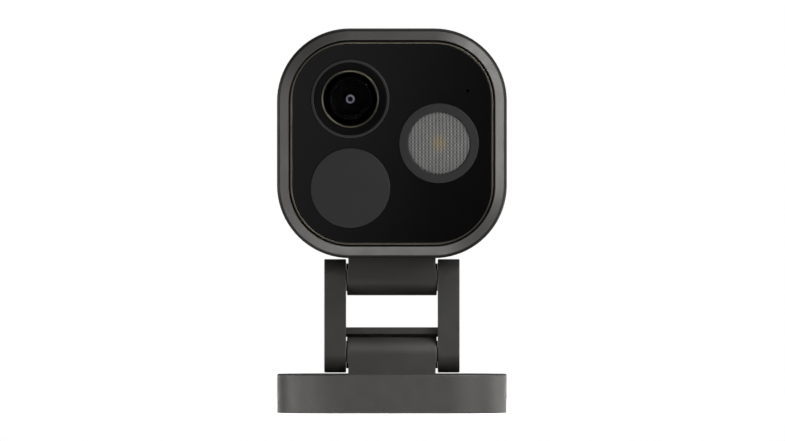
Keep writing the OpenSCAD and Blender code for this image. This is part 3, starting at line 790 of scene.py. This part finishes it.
KNUCKLE_LO, KNUCKLE_HI = corners("lower_knuckle")
KNUCKLE_R = (KNUCKLE_HI[1] - KNUCKLE_LO[1]) / 2
KNUCKLE_HALF = (KNUCKLE_HI[0] - KNUCKLE_LO[0]) / 2
PIN_R = depth_of("lower_hinge_pin") / 2
WASHER_R = depth_of("friction_washers") / 2
WASHER_SEAT = 0.6
# A knuckle's foot is narrower than its eye by the relief on each side, from this far below its axis.
RELIEF = 0.45
RELIEF_FROM = 3.2
# Running fits of the pin in the knuckles and in the link, and of the washers.
KNUCKLE_FIT, LINK_FIT, WASHER_FIT = 0.04, 0.02, 0.05


def knuckle(gap):
    """A hinge knuckle drawn on its axis, its foot gap away along X."""
    stem_half = KNUCKLE_HALF - RELIEF
    stem = bar(lambda inset, z: d_ring(KNUCKLE_R - inset, gap, z), -stem_half, stem_half)
    cheeks = bar(lambda inset, z: d_ring(KNUCKLE_R - inset, RELIEF_FROM - inset, z),
                 -KNUCKLE_HALF, KNUCKLE_HALF)
    past = KNUCKLE_HALF + PAST
    body = cut(combine(stem, cheeks, "UNION"), rod(PIN_R + KNUCKLE_FIT, -past, past, sides=SMALL_SIDES))
    seats = [rod(WASHER_R + WASHER_FIT, side * (KNUCKLE_HALF - WASHER_SEAT), side * past, sides=SIDES)
             for side in (-1, 1)]
    return cut(body, *seats)


def knuckles(m):
    lower = knuckle(LOWER_AXIS - BASE_H)
    piece("lower_knuckle_skin", lower, on_axis(LOWER_AXIS), "base",
          "anodised_graphite", m["graphite"], "lower_knuckle")
    upper = moved(knuckle(HOUSING_LO[2] - UPPER_AXIS), spin(math.pi, "Z"))
    piece("upper_knuckle_skin", upper, on_axis(UPPER_AXIS), "head",
          "anodised_graphite", m["graphite"], "upper_knuckle")


ARM_OUT = corners("link_frame")[1][0]
ARM_T = 8.2
TIE_D, TIE_H = 7.0, 2.65
TIE_Z = LOWER_AXIS + 7.55
# The rear lip of the tie bar keeps this radius round the lower axis, at these places behind it.
SADDLE_R = KNUCKLE_R + 0.5
LIP_AT = (1.0, 1.9, 2.7)
SEAT = 2.0
SEAT_R = 3.65


def saddle_ring(z):
    """The tie bar's outline: flat in front, with a rear lip that wraps over the lower knuckle."""
    low, top, half = LOWER_AXIS - TIE_Z, LOWER_AXIS - TIE_Z - TIE_H, TIE_D / 2
    lip = [(-math.sqrt(SADDLE_R ** 2 - y * y), y, 0) for y in LIP_AT]
    heel = (-math.sqrt(SADDLE_R ** 2 - half ** 2), half, 0.3)
    points = [(low, -half, 0.4), (low, 0.4, 0), *lip, heel, (top, half, 0.4), (top, -half, 0.4)]
    return [(x, y, z) for x, y in rounded(points)]


def link(m):
    reach = UPPER_AXIS - LOWER_AXIS
    arms = []
    for side in (-1, 1):
        start, end = sorted((side * ARM_OUT, side * (ARM_OUT - ARM_T)))
        arms.append(bar(lambda inset, z: stadium_ring(KNUCKLE_R - inset, -reach, 0, z, 32), start, end))
    arms = join(*arms)
    half, past = ARM_OUT - ARM_T + PAST, ARM_OUT + PAST
    body = combine(arms, skin([saddle_ring(z) for z in (-half, half)]), "UNION")
    body = cut(body, *[rod(PIN_R + LINK_FIT, -past, past, (x, 0), SMALL_SIDES) for x in (0, -reach)])
    for x in (0, -reach):
        for turn in (0, math.pi):
            seat = drill(SEAT_R, SEAT, ARM_OUT, 0.3, (x, 0), SMALL_SIDES)
            body = cut(body, moved(seat, spin(turn, "X")))
    piece("link_skin", body, on_axis(LOWER_AXIS), "link", "anodised_graphite", m["graphite"], "link_frame")


def socket_screw(head_r, head_t, shank_r, reach, key_r):
    """A screw whose head stands on z = 0, with a hexagon socket and a shank towards -Z."""
    soft, key_soft, flare = 0.3, 0.12, 0.15
    body = turned([(0, -reach, 0), (shank_r, -reach, 0.2), (shank_r, 0, 0), (head_r, 0, 0.12),
                   (head_r, head_t, soft), (0, head_t, 0)], SMALL_SIDES, closed=False)
    levels = [(key_r, head_t * 0.35), (key_r, head_t - flare), (key_r + flare, head_t),
              (key_r + flare, head_t + PAST)]
    return cut(body, skin([hex_ring(radius, key_soft, z) for radius, z in levels]))


def hinge_screws(m):
    screws = []
    seat = Matrix.Translation((0, 0, ARM_OUT - SEAT))
    for x in (0, LOWER_AXIS - UPPER_AXIS):
        for side in (0, math.pi):
            place = Matrix.Translation((x, 0, 0)) @ spin(side, "X") @ seat
            screws.append(moved(socket_screw(3.5, 1.7, SCREW_R, 7.5, 1.6), place))
    piece("hinge_screws_skin", join(*screws), on_axis(LOWER_AXIS), "link",
          "black_steel", m["oxide"], "hinge_screws")


# ---- Head shell ----


def head_housing(m):
    roll_steps = 8
    inset = EDGE_R * (1 - math.sin(SLOPE))
    path = rounded([(WALL, HOUSING_REAR, 0.2), (0, HOUSING_REAR, 0.7), (0, RIM_END, 0)], closed=False)
    for i in range(roll_steps + 1):
        angle = math.pi - i / roll_steps * (math.pi / 2 - SLOPE)
        path.append((EDGE_R + EDGE_R * math.cos(angle), RIM_END + EDGE_R * math.sin(angle)))
    path += rounded([(inset, RIM_START, 0), (BEZEL_W, RIM, 0.18), (BEZEL_W, LEDGE_FRONT, 0),
                     (LEDGE_INSET, LEDGE_FRONT, 0.2), (LEDGE_INSET, LEDGE_BACK, 0.2),
                     (WALL, LEDGE_BACK, 0)], closed=False)[1:]
    shell = skin([body_ring(i, z) for i, z in path], closed=True)
    low, high = SPIGOT_IN + POST_START, SPIGOT_IN + POST_END
    posts = join(*[rod(POST_R, low, high, at, 40) for at in SCREWS_AT])
    limit = skin([body_ring(WALL / 2, z) for z in (low - PAST, high + PAST)])
    shell = combine(shell, combine(posts, limit, "INTERSECT"), "UNION")
    holes = [rod(POST_HOLE_R, low - PAST, low + POST_HOLE_DEEP, at) for at in SCREWS_AT]
    low, high = LEDGE_BACK - LEDGE_HOLE_DOWN, LEDGE_BACK + LEDGE_HOLE_UP
    holes += [rod(LEDGE_HOLE_R, low, high, at) for at in SCREWS_AT]
    under = Matrix.Translation((0, -BODY_W / 2 + WALL + PAST, 0)) @ spin(math.pi / 2, "X")
    holes += [moved(hole, under) for hole in foot_holes(0, WALL + 2 * PAST)]
    piece("head_housing_skin", cut(shell, *holes), in_head(), "head",
          "anodised_graphite", m["graphite_head"], "head_housing")


def rear_cutter(outline, deep, chamfer):
    """A cutter sunk into the rear cover, with a chamfered mouth; outline(grow, z) gives its rings."""
    face = -HALF_DEPTH
    levels = [(chamfer, face - PAST), (chamfer, face), (0, face + chamfer), (0, face + deep)]
    return skin([outline(grow, z) for grow, z in levels])


def rear_slots(places, width, length, level, deep):
    """Cutters for upright slots in a row."""
    return [rear_cutter(lambda g, z, x=x: slot_ring(width + 2 * g, length, z, (x, level)), deep, 0.2)
            for x in places]


def rear_hole(radius, at, deep, chamfer, sides=SMALL_SIDES):
    """A cutter for a round hole."""
    return rear_cutter(lambda g, z: circle_ring(radius + g, z, at, sides), deep, chamfer)


def rear_cover(m):
    face, through = -HALF_DEPTH, SPIGOT_IN + PAST
    cover = slab([(WALL + HIDDEN, SPIGOT_IN, 0), (SPIGOT_INSET, SPIGOT_IN, 0.4), (SPIGOT_INSET, COVER_IN, 0),
                  (0, COVER_IN, 0.2), (0, face, 0.75), (WALL + HIDDEN, face, 0)])
    thick = through - face
    cutters = rear_slots(GROOVES_X, GROOVE_W, GROOVE_L, GROOVE_Z, GROOVE_DEEP)
    cutters += rear_slots(SLOTS_X, SLOT_W, SLOT_L, SPEAKER_Z, thick)
    cutters.append(rear_hole(GLAND_R + 0.1, GLAND_AT, thick, 0.1))
    cutters += [rear_hole(3.0, at, REAR_SEAT, 0.25, TINY_SIDES) for at in SCREWS_AT]
    cutters.append(rear_hole(BUTTON_R + 1.8, BUTTON_AT, 0.6, 0.2))
    cover = cut(cover, *cutters)
    deeper = [rod(CLEAR_R, face - PAST, through, at) for at in SCREWS_AT]
    deeper.append(rod(BUTTON_R + 0.05, face - PAST, face + 2.8, BUTTON_AT, SMALL_SIDES))
    cover = cut(cover, *deeper)
    cover = cut(cover, rod(STEM_R + 0.05, face - PAST, through, BUTTON_AT))
    piece("rear_cover_skin", cover, in_head(), "head", "anodised_rear", m["graphite_rear"], "rear_cover")


def rear_screws(m):
    screws = []
    for x, y in SCREWS_AT:
        place = Matrix.Translation((x, y, -HALF_DEPTH + REAR_SEAT)) @ spin(math.pi, "X")
        screws.append(moved(socket_screw(2.8, 1.6, SCREW_R, 12, 1.3), place))
    piece("rear_screws_skin", join(*screws), in_head(), "head", "black_steel", m["oxide"], "rear_screws")


def front_window(m):
    inset, hidden = WINDOW_INSET, WINDOW_INSET + 12
    plate = slab([(hidden, WINDOW_BACK, 0), (inset, WINDOW_BACK, 0.1), (inset, FRONT, 0.22),
                  (hidden, FRONT, 0)])
    deep = FRONT - WINDOW_BACK + PAST
    cutters = [drill(r + 0.05, deep, FRONT, 0.1, at, SIDES)
               for at, r in ((LENS_AT, LENS_RING_R), (PIR_AT, PIR_R), (LAMP_AT, LAMP_RING_R))]
    cutters.append(drill(MIC_R, deep, FRONT, 0.12, MIC_AT, HOLE_SIDES))
    piece("front_window_skin", cut(plate, *cutters), in_head(), "head",
          "window_black", m["window"], "front_window")


def window_trim(m):
    lo, _ = corners("window_trim")
    outer, inner, top = TRIM_INSET, WINDOW_INSET - 0.03, -lo[1]
    ring = slab([(outer, WINDOW_BACK, 0), (outer, top, 0.13), (inner, top, 0.13),
                 (inner, WINDOW_BACK, 0)], True)
    piece("window_trim_skin", ring, in_head(), "head", "bronze_trim", m["trim"], "window_trim")


# ---- Camera lens ----


def lens_ring(m):
    inner = LENS_RING_R - 1
    ring = turned([(LENS_RING_R, LEDGE_BACK, 0.1), (LENS_RING_R, RING_FRONT, 0.35), (inner, RING_FRONT, 0.2),
                   (inner, LEDGE_BACK, 0.1)], FINE_SIDES)
    piece("lens_ring_skin", ring, in_head(LENS_AT), "head", "grey_ring", m["grey"], "lens_bezel_ring")


def lens_hood(m):
    baffles = 5
    throat, floor, bore = LENS_TRIM_R + 0.05, GLASS_BACK, 8.0
    mouth, shelf = HOOD_R - 0.5, GLASS_BACK + 3.4
    run, drop = (mouth - throat - 0.5) / baffles, (HOOD_FRONT - shelf) / baffles
    hood = [(bore, LEDGE_BACK, 0), (HOOD_R, LEDGE_BACK, 0.1), (HOOD_R, HOOD_FRONT, 0.12),
            (mouth, HOOD_FRONT, 0.1)]
    for i in range(baffles):
        level = HOOD_FRONT - (i + 1) * drop
        hood.append((mouth - i * run - 0.05, level, 0.03))
        if i < baffles - 1:
            hood.append((mouth - (i + 1) * run, level, 0.05))
    hood += [(throat, shelf, 0.05), (throat, floor, 0), (bore, floor, 0)]
    piece("lens_hood_skin", turned(hood, FINE_SIDES, 2), in_head(LENS_AT), "head",
          "black_plastic", m["hood"], "lens_hood")


def lens_trim(m):
    bore = GLASS_R + 0.05
    ring = turned([(LENS_TRIM_R, GLASS_BACK, 0), (LENS_TRIM_R, LENS_TRIM_FRONT, 0.25),
                   (LENS_TRIM_R - 0.55, LENS_TRIM_FRONT, 0.2), (bore, LENS_TRIM_FRONT - 1.3, 0.15),
                   (bore, GLASS_BACK, 0)], FINE_SIDES, 3)
    piece("lens_trim_skin", ring, in_head(LENS_AT), "head", "bronze_trim", m["lens_trim"], "lens_trim_ring")


def lens_dome(m):
    steps, rim = 24, 0.1
    edge = GLASS_BACK + 1
    rise = GLASS_FRONT - edge
    ball = (GLASS_R ** 2 + rise ** 2) / (2 * rise)
    reach = math.asin(GLASS_R / ball)
    dome = [(0, GLASS_BACK), (GLASS_R - rim, GLASS_BACK), (GLASS_R, GLASS_BACK + rim), (GLASS_R, edge)]
    for i in range(1, steps):
        angle = reach * (1 - i / steps)
        dome.append((ball * math.sin(angle), GLASS_FRONT - ball + ball * math.cos(angle)))
    dome.append((0, GLASS_FRONT))
    piece("lens_dome_skin", lathe(dome, False, FINE_SIDES), in_head(LENS_AT), "head",
          "lens_glass", m["glass"], "lens_cover_glass")


def lens_iris(m):
    mouth, opening = 1.75, 0.85
    iris = turned([(IRIS_R, IRIS_BACK, 0.1), (IRIS_R, IRIS_FRONT, 0.1), (mouth, IRIS_FRONT, 0.04),
                   (opening, IRIS_BACK, 0.03)], steps=3)
    piece("lens_iris_skin", iris, in_head(LENS_AT), "head", "black_plastic", m["iris"], "lens_iris")


# ---- Motion sensor and lamp ----


def pir_lens(m):
    wall = 1.0
    inner, under = PIR_R - wall, PIR_FRONT - wall
    cup = turned([(0, PIR_FRONT, 0), (PIR_R, PIR_FRONT, 0.4), (PIR_R, LEDGE_BACK, 0.15),
                  (inner, LEDGE_BACK, 0.15), (inner, under, 0.4), (0, under, 0)], FINE_SIDES, closed=False)
    piece("pir_lens_skin", cup, in_head(PIR_AT), "head", "grey_ring", m["grey"], "pir_lens")


def lamp_ring(m):
    inner = LAMP_LENS_R + 0.05
    ring = turned([(LAMP_RING_R, LEDGE_BACK, 0.1), (LAMP_RING_R, LAMP_RING_FRONT, 0.35),
                   (inner + 0.25, LAMP_RING_FRONT, 0.2), (inner, LAMP_RING_FRONT - 0.55, 0.1),
                   (inner, LEDGE_BACK, 0.1)], FINE_SIDES)
    piece("lamp_ring_skin", ring, in_head(LAMP_AT), "head", "grey_ring", m["grey"], "lamp_bezel")


LENSLET_H = 0.28
LENSLET_STEP = 0.15
LAMP_SIDES = 240


def lenslet(x, y):
    """Height of the lenslets, which stand in columns with a dimple between each two."""
    dots = math.cos(math.tau * y / LENSLET_PITCH + LENSLET_TURN)
    wave = math.cos(math.tau * x / LENSLET_PITCH) * (LENSLET_DOTS * dots - (1 - LENSLET_DOTS))
    return LENSLET_H * (0.5 + 0.5 * wave)


def lamp_lens(m):
    top = LAMP_LENS_FRONT - LENSLET_H
    edge = [(LAMP_LENS_R - 0.15, LAMP_LENS_BACK), (LAMP_LENS_R, LAMP_LENS_BACK + 0.15), (LAMP_LENS_R, top),
            (LAMP_LENS_R - 0.3, top + 0.05)]
    rings = [circle_ring(r, z, sides=LAMP_SIDES) for r, z in edge]
    radius = LAMP_LENS_R - 0.45
    while radius > 0.16:
        flat = circle_ring(radius, 0, sides=LAMP_SIDES)
        rings.append([(x, y, top + lenslet(x, y)) for x, y, _ in flat])
        radius -= LENSLET_STEP
    rings.append([(0, 0, top + LENSLET_H)])
    piece("lamp_lens_skin", skin(rings), in_head(LAMP_AT), "head", "diffuser", m["lamp"], "lamp_lens")


# ---- Rear fittings ----


def reset_button(m):
    lo, hi = corners("reset_button")
    face, back = -hi[1], -lo[1]
    shoulder, keeper_r, keeper_bore = face + 2.1, 2.5, STEM_R + 0.02
    low, high = SPIGOT_IN + 0.2, SPIGOT_IN + 0.9
    stem = turned([(0, face + 0.12, 0), (BUTTON_R - 0.7, face + 0.12, 0.6), (BUTTON_R - 0.45, face, 0.2),
                   (BUTTON_R, face, 0.25), (BUTTON_R, shoulder, 0.15), (STEM_R, shoulder, 0),
                   (STEM_R, back, 0.2), (0, back, 0)], SMALL_SIDES, 3, closed=False)
    keeper = turned([(keeper_bore, low, 0), (keeper_r, low, 0.1), (keeper_r, high, 0.1),
                     (keeper_bore, high, 0)], TINY_SIDES, 2)
    piece("reset_button_skin", join(stem, keeper), in_head(BUTTON_AT), "button",
          "button_grey", m["button"], "reset_button")


def gland_body(m):
    face, end, inner = -HALF_DEPTH, GLAND_END, SPIGOT_IN + 4
    soft = 0.3
    hexagon = bar(lambda inset, z: hex_ring(9.4 - inset, 0.7, z), face - 2.5, face)
    levels = [(GLAND_R - soft, end), (GLAND_R, end + soft), (GLAND_R, inner - soft), (GLAND_R - soft, inner)]
    body = combine(hexagon, skin([circle_ring(r, z) for r, z in levels]), "UNION")
    body = cut(body, rod(4.95, end - PAST, inner + PAST, sides=SIDES))
    piece("gland_body_skin", body, in_head(GLAND_AT), "head", "black_plastic", m["gland"], "gland_body")


def gland_nut(m):
    face = -HALF_DEPTH
    nut_end, hex_end = face - 9.6, face - 6.4
    cap_r, rib_r, ribs = 7.6, 0.35, 18
    nut = bar(lambda inset, z: hex_ring(9.0 - inset, 0.7, z), hex_end, face - 2.7)
    cap = turned([(0, nut_end, 0), (6.8, nut_end, 0.7), (cap_r, hex_end, 0.3), (cap_r, hex_end + 1, 0),
                  (0, hex_end + 1, 0)], closed=False)
    nut = combine(nut, cap, "UNION")
    grooves = []
    for i in range(ribs):
        groove = rod(rib_r, nut_end + 1.3, hex_end - 0.3, (cap_r + 0.15, 0), 12)
        grooves.append(moved(groove, spin(i * math.tau / ribs, "Z")))
    nut = cut(nut, *grooves)
    mouth = [(4.75, nut_end - PAST), (4.75, nut_end), (4.35, nut_end + 0.4), (4.35, face)]
    nut = cut(nut, skin([circle_ring(r, z) for r, z in mouth]))
    nut = cut(nut, rod(6.35, face - 8.25, face, sides=SIDES))
    piece("gland_nut_skin", nut, in_head(GLAND_AT), "head", "black_plastic", m["gland"], "gland_nut")


def gland_bush(m):
    face, end = -HALF_DEPTH, GLAND_END
    nose, collar, membrane = end - 1.9, end - 1.2, face - 1.9
    bush = turned([(0, face - 1.1, 0), (4.9, face - 1.1, 0.3), (4.9, end, 0), (6.2, end, 0.15),
                   (6.2, collar, 0.3), (4.3, collar, 0), (4.3, nose, 0.3), (3.5, nose, 0.25),
                   (3.5, membrane, 0.1), (0, membrane, 0)], SMALL_SIDES, 3, closed=False)
    piece("gland_bush_skin", bush, in_head(GLAND_AT), "head", "seal_rubber", m["rubber"], "gland_bush")


# ---- Stage, light and camera ----

WHITE = (1, 1, 1, 1)
FLOOR_HALF = 0.6
FLOOR_COLOUR = (0.86, 0.86, 0.855, 1)
FLOOR_ROUGH = 0.85
FLOOR_SPECULAR = 0.1
# The surround is plain white to the camera and this bright to everything else.
DIM = 0.04


def pale_floor():
    """A floor that runs far past the view and lights nothing."""
    material = bpy.data.materials.new("floor_white")
    material.use_nodes = True
    values = {"Base Color": FLOOR_COLOUR, "Roughness": FLOOR_ROUGH, "Specular IOR Level": FLOOR_SPECULAR,
              "Emission Color": WHITE, "Emission Strength": 1.0}
    for key, value in values.items():
        material.node_tree.nodes["Principled BSDF"].inputs[key].default_value = value
    bm = bmesh.new()
    bm.faces.new([bm.verts.new((x * FLOOR_HALF, y * FLOOR_HALF, 0))
                  for x, y in ((-1, -1), (1, -1), (1, 1), (-1, 1))])
    mesh = mesh_of("floor", bm)
    mesh.materials.append(material)
    floor = shown("floor", mesh)
    floor.visible_diffuse = False
    floor.visible_glossy = False
    floor.visible_transmission = False
    floor.visible_shadow = False


def surround():
    """White behind the object, and only a little light from all round."""
    world = bpy.data.worlds.new("surround")
    world.use_nodes = True
    tree = world.node_tree
    back = tree.nodes["Background"]
    dim = tree.nodes.new("ShaderNodeBackground")
    for node, strength in ((back, 1.0), (dim, DIM)):
        node.inputs["Color"].default_value = WHITE
        node.inputs["Strength"].default_value = strength
    mix = tree.nodes.new("ShaderNodeMixShader")
    path = tree.nodes.new("ShaderNodeLightPath")
    tree.links.new(path.outputs["Is Camera Ray"], mix.inputs[0])
    tree.links.new(dim.outputs[0], mix.inputs[1])
    tree.links.new(back.outputs[0], mix.inputs[2])
    tree.links.new(mix.outputs[0], tree.nodes["World Output"].inputs["Surface"])
    bpy.context.scene.world = world


# Distance from the object's middle and width of a soft box, in metres.
FAR = (0.9, 0.36)
NEAR = (0.336, 0.16)
# name: (degrees round from the front to the right, degrees up, brightness, distance and width)
LIGHTS = {
    "key_high_right": (45, 42, 13, FAR),
    "key_near_right": (60, 12, 8, NEAR),
    "under_front": (0, -65, 9.5, FAR),
    "under_low_front": (0, -40, 1.5, FAR),
    "under_left": (-60, -65, 2.5, FAR),
    "low_left": (-60, -40, 4.5, FAR),
    "dip_left": (-60, -15, 1.5, FAR),
    "level_left": (-60, 5, 2, FAR),
    "side_left": (-100, 5, 6, FAR),
    "back_left": (-160, -15, 5.5, FAR),
    "back_right": (160, -15, 6, FAR),
    "dip_right": (120, -15, 6, FAR),
    "side_right": (110, 25, 2.5, FAR),
    "top_back": (180, 60, 3.5, FAR),
}
STAGE_MIDDLE = (0, 0, 0.08)
CARD_AT = (-0.275, -0.5, 0.22)
CARD_W = 0.6
CARD_BRIGHTNESS = 0.5


def soft_box(name, position, target, width, brightness, shape="SQUARE"):
    """An area light that faces a target and isn't seen by the camera."""
    data = bpy.data.lights.new(name, "AREA")
    data.shape = shape
    data.size = width
    data.energy = brightness * math.pi * width * width
    lamp = shown(name, data)
    lamp.location = position
    lamp.rotation_euler = (target - position).to_track_quat("-Z", "Y").to_euler()
    lamp.visible_camera = False


def lights():
    """Square soft boxes that face the object, and a round card whose rim shades the window."""
    middle = Vector(STAGE_MIDDLE)
    for name, (azimuth, elevation, brightness, (distance, width)) in LIGHTS.items():
        turn, rise = math.radians(azimuth), math.radians(elevation)
        out = Vector((math.sin(turn) * math.cos(rise), -math.cos(turn) * math.cos(rise), math.sin(rise)))
        soft_box(name, middle + out * distance, middle, width, brightness)
    card = Vector(CARD_AT)
    soft_box("window_card", card, Vector((card.x, 0, card.z)), CARD_W, CARD_BRIGHTNESS * math.pi / 4, "DISK")


# The lens and its film width in millimetres, how far the camera sees in metres, and the width and the
# middle of the view, in metres at the head's front.
FOCAL = 900.0
SENSOR = 36.0
SIGHT = 100
VIEW_W = 0.2936
VIEW_AT = (0.00022, 0.0721)


def camera():
    """A long lens straight in front of the object."""
    data = bpy.data.cameras.new("camera")
    data.lens = FOCAL
    data.sensor_width = SENSOR
    data.clip_end = SIGHT
    view = shown("camera", data)
    view.location = (VIEW_AT[0], -FRONT * MM - VIEW_W * FOCAL / SENSOR, VIEW_AT[1])
    view.rotation_euler = (math.pi / 2, 0, 0)
    bpy.context.scene.camera = view
    bpy.context.scene.view_settings.view_transform = "Standard"


PARTS = (base_shell, lock_screw, knuckles, link, hinge_screws, head_housing, rear_cover, rear_screws,
         front_window, window_trim, lens_ring, lens_hood, lens_trim, lens_dome, lens_iris, pir_lens,
         lamp_ring, lamp_lens, reset_button, gland_body, gland_nut, gland_bush)


def build():
    m = {**outer_finishes(), **inner_finishes()}
    finish_cad(m)
    for part in PARTS:
        part(m)
    pale_floor()
    surround()
    lights()
    camera()


build()
